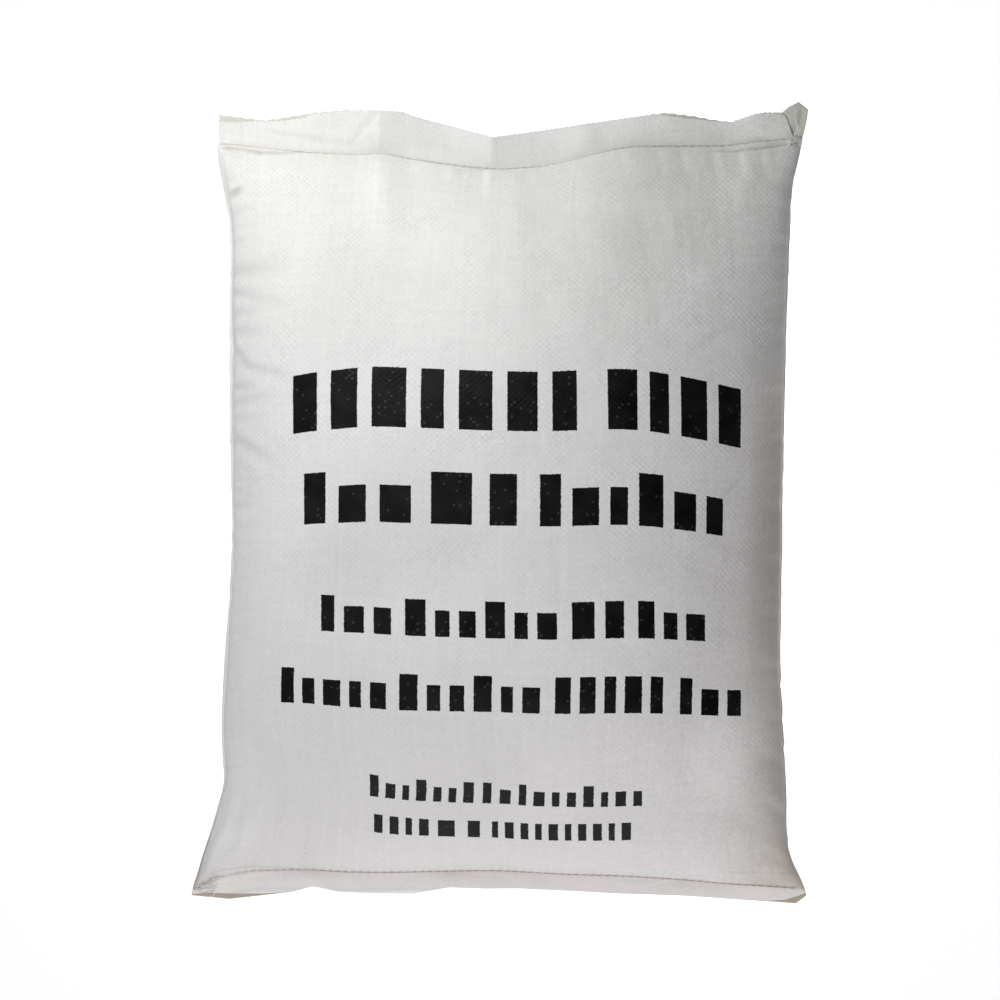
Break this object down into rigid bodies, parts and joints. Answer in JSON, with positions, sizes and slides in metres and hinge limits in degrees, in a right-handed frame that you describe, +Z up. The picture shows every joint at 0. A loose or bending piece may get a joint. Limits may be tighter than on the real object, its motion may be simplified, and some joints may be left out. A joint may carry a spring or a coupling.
{
  "type": "filled woven sack of rice, sewn shut",
  "caption": "White woven sack filled with rice, sewn shut with a flat hem at both ends, lying flat with its printed side up.",
  "frame": {"origin": "centre of the outline on the floor, under the middle of the sack", "axes": "+Z up through the printed side, +X across the sack to the right, +Y along it to the wavy upper hem"},
  "size_m": [0.4984, 0.6436, 0.1427],
  "materials": {
    "woven_fabric": "woven polypropylene tapes, half gloss",
    "sewing_thread": "matt twisted thread"
  },
  "bodies": {
    "root": {"sack": "woven_fabric", "top_seam_thread": "sewing_thread", "bottom_seam_thread": "sewing_thread"}
  },
  "joints": []
}
